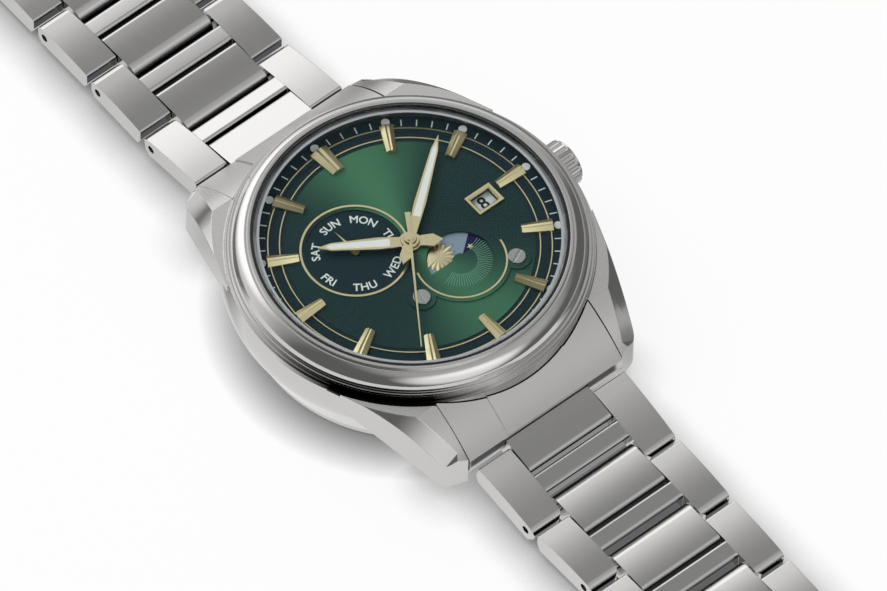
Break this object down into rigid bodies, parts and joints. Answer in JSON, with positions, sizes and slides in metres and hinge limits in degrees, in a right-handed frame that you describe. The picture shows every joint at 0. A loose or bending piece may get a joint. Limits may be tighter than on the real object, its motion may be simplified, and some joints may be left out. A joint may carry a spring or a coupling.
{
  "type": "wristwatch with day, date and sun and moon displays on a link bracelet",
  "caption": "Round steel wristwatch with hour, minute and second hands, day, date and sun and moon displays, a screwed back and a hinged link bracelet with a folding clasp.",
  "frame": {"origin": "centre of the case back's flat face, on the axis of the hands", "axes": "+Z out of the dial, +Y from the hands' axis to twelve o'clock, along the bracelet, +X to three o'clock and the crown"},
  "size_m": [0.0416, 0.1907, 0.0138],
  "materials": {
    "brushed_steel": "satin, brushed along the bracelet",
    "case_steel": "brushed tops with polished bevels and flanks",
    "polished_steel": "mirror polished",
    "clear_glass": "clear and polished",
    "black_rubber": "matt",
    "chapter_steel": "fine turned",
    "green_dial": "dark green sunray under clear lacquer",
    "champagne_gold": "polished champagne gold plate",
    "pale_lume": "matt",
    "blue_sky": "fine grained blue",
    "white_print": "matt white",
    "gilt_brass": "fine grained gilt",
    "movement_nickel": "striped nickel plate",
    "ruby": "polished",
    "blued_steel": "polished"
  },
  "bodies": {
    "watch_head": {"mid_case": "case_steel", "bezel": "polished_steel", "crystal": "clear_glass", "crystal_gasket": "black_rubber", "chapter_ring": "chapter_steel", "dial": "green_dial", "day_ring": "champagne_gold", "moon_plate": "green_dial", "moon_ring": "champagne_gold", "moon_plate_screws": "polished_steel", "date_frame": "champagne_gold", "hour_markers": "champagne_gold", "lume_dots": "pale_lume", "main_plate": "gilt_brass", "casing_ring": "movement_nickel", "train_bridge": "movement_nickel", "jewels": "ruby", "bridge_screws": "blued_steel", "balance_cock": "polished_steel", "rotor_bearing": "movement_nickel", "case_back": "case_steel", "back_glass": "clear_glass", "crown_tube": "polished_steel", "spring_bars": "polished_steel", "end_link_noon": "brushed_steel", "end_link_six": "brushed_steel"},
    "hour_hand": {"hour_hand": "champagne_gold", "hour_hand_lume": "pale_lume", "hour_wheel": "gilt_brass"},
    "minute_hand": {"minute_hand": "champagne_gold", "minute_hand_lume": "pale_lume", "cannon_pinion": "polished_steel"},
    "second_hand": {"second_hand": "champagne_gold"},
    "day_hand": {"day_hand": "champagne_gold"},
    "sun_moon_disc": {"sun_moon_disc": "blue_sky"},
    "date_ring": {"date_ring": "white_print"},
    "mainspring_barrel": {"mainspring_barrel": "gilt_brass"},
    "balance_wheel": {"balance_wheel": "gilt_brass"},
    "rotor": {"rotor": "movement_nickel"},
    "crown_slider": {"crown_gasket": "black_rubber"},
    "crown": {"crown": "polished_steel", "winding_stem": "polished_steel"},
    "link_noon_1": {"link_noon_1": "brushed_steel"},
    "link_noon_2": {"link_noon_2": "brushed_steel"},
    "link_noon_3": {"link_noon_3": "brushed_steel"},
    "link_noon_4": {"link_noon_4": "brushed_steel"},
    "link_noon_5": {"link_noon_5": "brushed_steel"},
    "link_noon_6": {"link_noon_6": "brushed_steel"},
    "link_six_1": {"link_six_1": "brushed_steel"},
    "link_six_2": {"link_six_2": "brushed_steel"},
    "link_six_3": {"link_six_3": "brushed_steel"},
    "link_six_4": {"link_six_4": "brushed_steel"},
    "link_six_5": {"link_six_5": "brushed_steel"},
    "link_six_6": {"link_six_6": "brushed_steel"},
    "link_six_7": {"link_six_7": "brushed_steel"},
    "clasp_cover": {"clasp_cover": "brushed_steel"},
    "clasp_blade_outer": {"clasp_blade_outer": "polished_steel"},
    "clasp_blade_inner": {"clasp_blade_inner": "polished_steel"},
    "clasp_button_crown_side": {"clasp_button_crown_side": "polished_steel"},
    "clasp_button_far_side": {"clasp_button_far_side": "polished_steel"}
  },
  "joints": [
    {"name": "minute_hand_turn", "type": "hinge", "parent": "watch_head", "child": "minute_hand", "pos_m": [0, 0, 0.0121], "axis": [0, 0, -1], "continuous": true},
    {"name": "hour_hand_turn", "type": "hinge", "parent": "watch_head", "child": "hour_hand", "pos_m": [0, 0, 0.0118], "axis": [0, 0, -1], "continuous": true},
    {"name": "second_hand_turn", "type": "hinge", "parent": "watch_head", "child": "second_hand", "pos_m": [0, 0, 0.0124], "axis": [0, 0, -1], "continuous": true},
    {"name": "sun_moon_disc_turn", "type": "hinge", "parent": "watch_head", "child": "sun_moon_disc", "pos_m": [0.00283, -0.00489, 0.011], "axis": [0, 0, -1], "continuous": true},
    {"name": "barrel_turn", "type": "hinge", "parent": "watch_head", "child": "mainspring_barrel", "pos_m": [-0.0052, 0.0054, 0.006], "axis": [0, 0, -1], "continuous": true},
    {"name": "day_hand_turn", "type": "hinge", "parent": "watch_head", "child": "day_hand", "pos_m": [-0.005, 0.00295, 0.0113], "axis": [0, 0, -1], "continuous": true},
    {"name": "date_ring_turn", "type": "hinge", "parent": "watch_head", "child": "date_ring", "pos_m": [0, 0, 0.0105], "axis": [0, 0, -1], "continuous": true},
    {"name": "balance_swing", "type": "hinge", "parent": "watch_head", "child": "balance_wheel", "pos_m": [0.0056, -0.0063, 0.0055], "axis": [0, 0, 1], "range_deg": [-270, 270]},
    {"name": "rotor_turn", "type": "hinge", "parent": "watch_head", "child": "rotor", "pos_m": [0, 0, 0.0028], "axis": [0, 0, -1], "continuous": true},
    {"name": "crown_pull", "type": "slide", "parent": "watch_head", "child": "crown_slider", "axis": [1, 0, 0], "range_m": [0, 0.0009]},
    {"name": "crown_turn", "type": "hinge", "parent": "crown_slider", "child": "crown", "pos_m": [0.0195, 0, 0.0072], "axis": [1, 0, 0], "continuous": true},
    {"name": "noon_hinge_1", "type": "hinge", "parent": "watch_head", "child": "link_noon_1", "pos_m": [0, 0.02185, 0.00445], "axis": [-1, 0, 0], "range_deg": [-8, 24]},
    {"name": "noon_hinge_2", "type": "hinge", "parent": "link_noon_1", "child": "link_noon_2", "pos_m": [0, 0.0309, 0.0028], "axis": [-1, 0, 0], "range_deg": [-8, 24]},
    {"name": "noon_hinge_3", "type": "hinge", "parent": "link_noon_2", "child": "link_noon_3", "pos_m": [0, 0.0401, 0.00275], "axis": [-1, 0, 0], "range_deg": [-8, 24]},
    {"name": "noon_hinge_4", "type": "hinge", "parent": "link_noon_3", "child": "link_noon_4", "pos_m": [0, 0.04929, 0.0024], "axis": [-1, 0, 0], "range_deg": [-8, 24]},
    {"name": "noon_hinge_5", "type": "hinge", "parent": "link_noon_4", "child": "link_noon_5", "pos_m": [0, 0.05848, 0.00195], "axis": [-1, 0, 0], "range_deg": [-8, 24]},
    {"name": "noon_hinge_6", "type": "hinge", "parent": "link_noon_5", "child": "link_noon_6", "pos_m": [0, 0.06767, 0.00155], "axis": [-1, 0, 0], "range_deg": [-8, 24]},
    {"name": "noon_hinge_7", "type": "hinge", "parent": "link_noon_6", "child": "clasp_cover", "pos_m": [0, 0.07687, 0.00133], "axis": [-1, 0, 0], "range_deg": [-8, 24]},
    {"name": "six_hinge_1", "type": "hinge", "parent": "watch_head", "child": "link_six_1", "pos_m": [0, -0.02185, 0.00445], "axis": [1, 0, 0], "range_deg": [-8, 24]},
    {"name": "six_hinge_2", "type": "hinge", "parent": "link_six_1", "child": "link_six_2", "pos_m": [0, -0.03083, 0.00245], "axis": [1, 0, 0], "range_deg": [-8, 24]},
    {"name": "six_hinge_3", "type": "hinge", "parent": "link_six_2", "child": "link_six_3", "pos_m": [0, -0.04002, 0.00205], "axis": [1, 0, 0], "range_deg": [-8, 24]},
    {"name": "six_hinge_4", "type": "hinge", "parent": "link_six_3", "child": "link_six_4", "pos_m": [0, -0.04922, 0.00175], "axis": [1, 0, 0], "range_deg": [-8, 24]},
    {"name": "six_hinge_5", "type": "hinge", "parent": "link_six_4", "child": "link_six_5", "pos_m": [0, -0.05841, 0.0015], "axis": [1, 0, 0], "range_deg": [-8, 24]},
    {"name": "six_hinge_6", "type": "hinge", "parent": "link_six_5", "child": "link_six_6", "pos_m": [0, -0.06761, 0.0014], "axis": [1, 0, 0], "range_deg": [-8, 24]},
    {"name": "six_hinge_7", "type": "hinge", "parent": "link_six_6", "child": "link_six_7", "pos_m": [0, -0.07681, 0.00133], "axis": [1, 0, 0], "range_deg": [-8, 24]},
    {"name": "clasp_outer_hinge", "type": "hinge", "parent": "clasp_cover", "child": "clasp_blade_outer", "pos_m": [0, 0.10007, 0.0019], "axis": [-1, 0, 0], "range_deg": [-100, 0]},
    {"name": "clasp_inner_hinge", "type": "hinge", "parent": "clasp_blade_outer", "child": "clasp_blade_inner", "pos_m": [0, 0.08177, 0.001], "axis": [1, 0, 0], "range_deg": [-115, 0]},
    {"name": "button_press_crown_side", "type": "slide", "parent": "clasp_cover", "child": "clasp_button_crown_side", "axis": [-1, 0, 0], "range_m": [0, 0.0005], "stiffness_N_per_m": 300, "springref_m": -0.0003},
    {"name": "button_press_far_side", "type": "slide", "parent": "clasp_cover", "child": "clasp_button_far_side", "axis": [1, 0, 0], "range_m": [0, 0.0005], "stiffness_N_per_m": 300, "springref_m": -0.0003}
  ],
  "couplings": [
    {"joint": "hour_hand_turn", "follows": "minute_hand_turn", "ratio": 0.083333},
    {"joint": "second_hand_turn", "follows": "minute_hand_turn", "ratio": 60},
    {"joint": "sun_moon_disc_turn", "follows": "minute_hand_turn", "ratio": 0.041667},
    {"joint": "barrel_turn", "follows": "minute_hand_turn", "ratio": -0.125}
  ]
}
